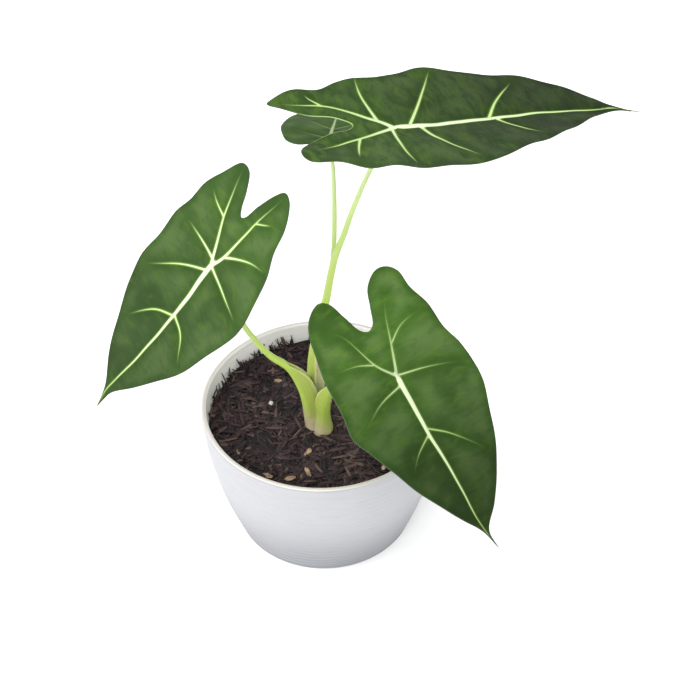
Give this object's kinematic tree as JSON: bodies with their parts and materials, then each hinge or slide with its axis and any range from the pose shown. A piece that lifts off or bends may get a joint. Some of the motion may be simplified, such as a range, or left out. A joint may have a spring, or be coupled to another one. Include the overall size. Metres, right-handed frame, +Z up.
{
  "type": "potted alocasia",
  "caption": "Young alocasia with pale-veined arrow-shaped leaves on slender stems, in a small round white pot of dark fibrous mix.",
  "frame": {"origin": "centre of the pot's flat underside, which rests on the surface", "axes": "+Z up along the pot's axis; -Y is the front, the side the pictured view looks from; +X is the side the tall leaf points to"},
  "size_m": [0.2481, 0.2015, 0.2437],
  "materials": {
    "pot": "satin white glaze over fine turned ridges",
    "potting_mix": "loose dark coir and bark fibres",
    "corm": "dry pale papery skin",
    "root": "smooth fleshy",
    "stem": "smooth satin yellow-green",
    "blade": "velvety deep green with pale raised veins",
    "bark": "rough tan bark",
    "perlite": "matte white porous grain"
  },
  "bodies": {
    "root": {"pot": "pot", "potting_mix": "potting_mix", "corm": "corm", "root_1": "root", "root_2": "root", "root_3": "root", "root_4": "root", "root_5": "root", "root_6": "root", "petiole_left": "stem", "petiole_tall": "stem", "petiole_front": "stem", "petiole_back": "stem", "blade_left": "blade", "blade_tall": "blade", "blade_front": "blade", "blade_back": "blade", "bark_chip_1": "bark", "bark_chip_2": "bark", "bark_chip_3": "bark", "bark_chip_4": "bark", "bark_chip_5": "bark", "bark_chip_6": "bark", "bark_chip_7": "bark", "bark_chip_8": "bark", "bark_chip_9": "bark", "bark_chip_10": "bark", "perlite_1": "perlite", "perlite_2": "perlite", "perlite_3": "perlite", "perlite_4": "perlite"}
  },
  "joints": []
}
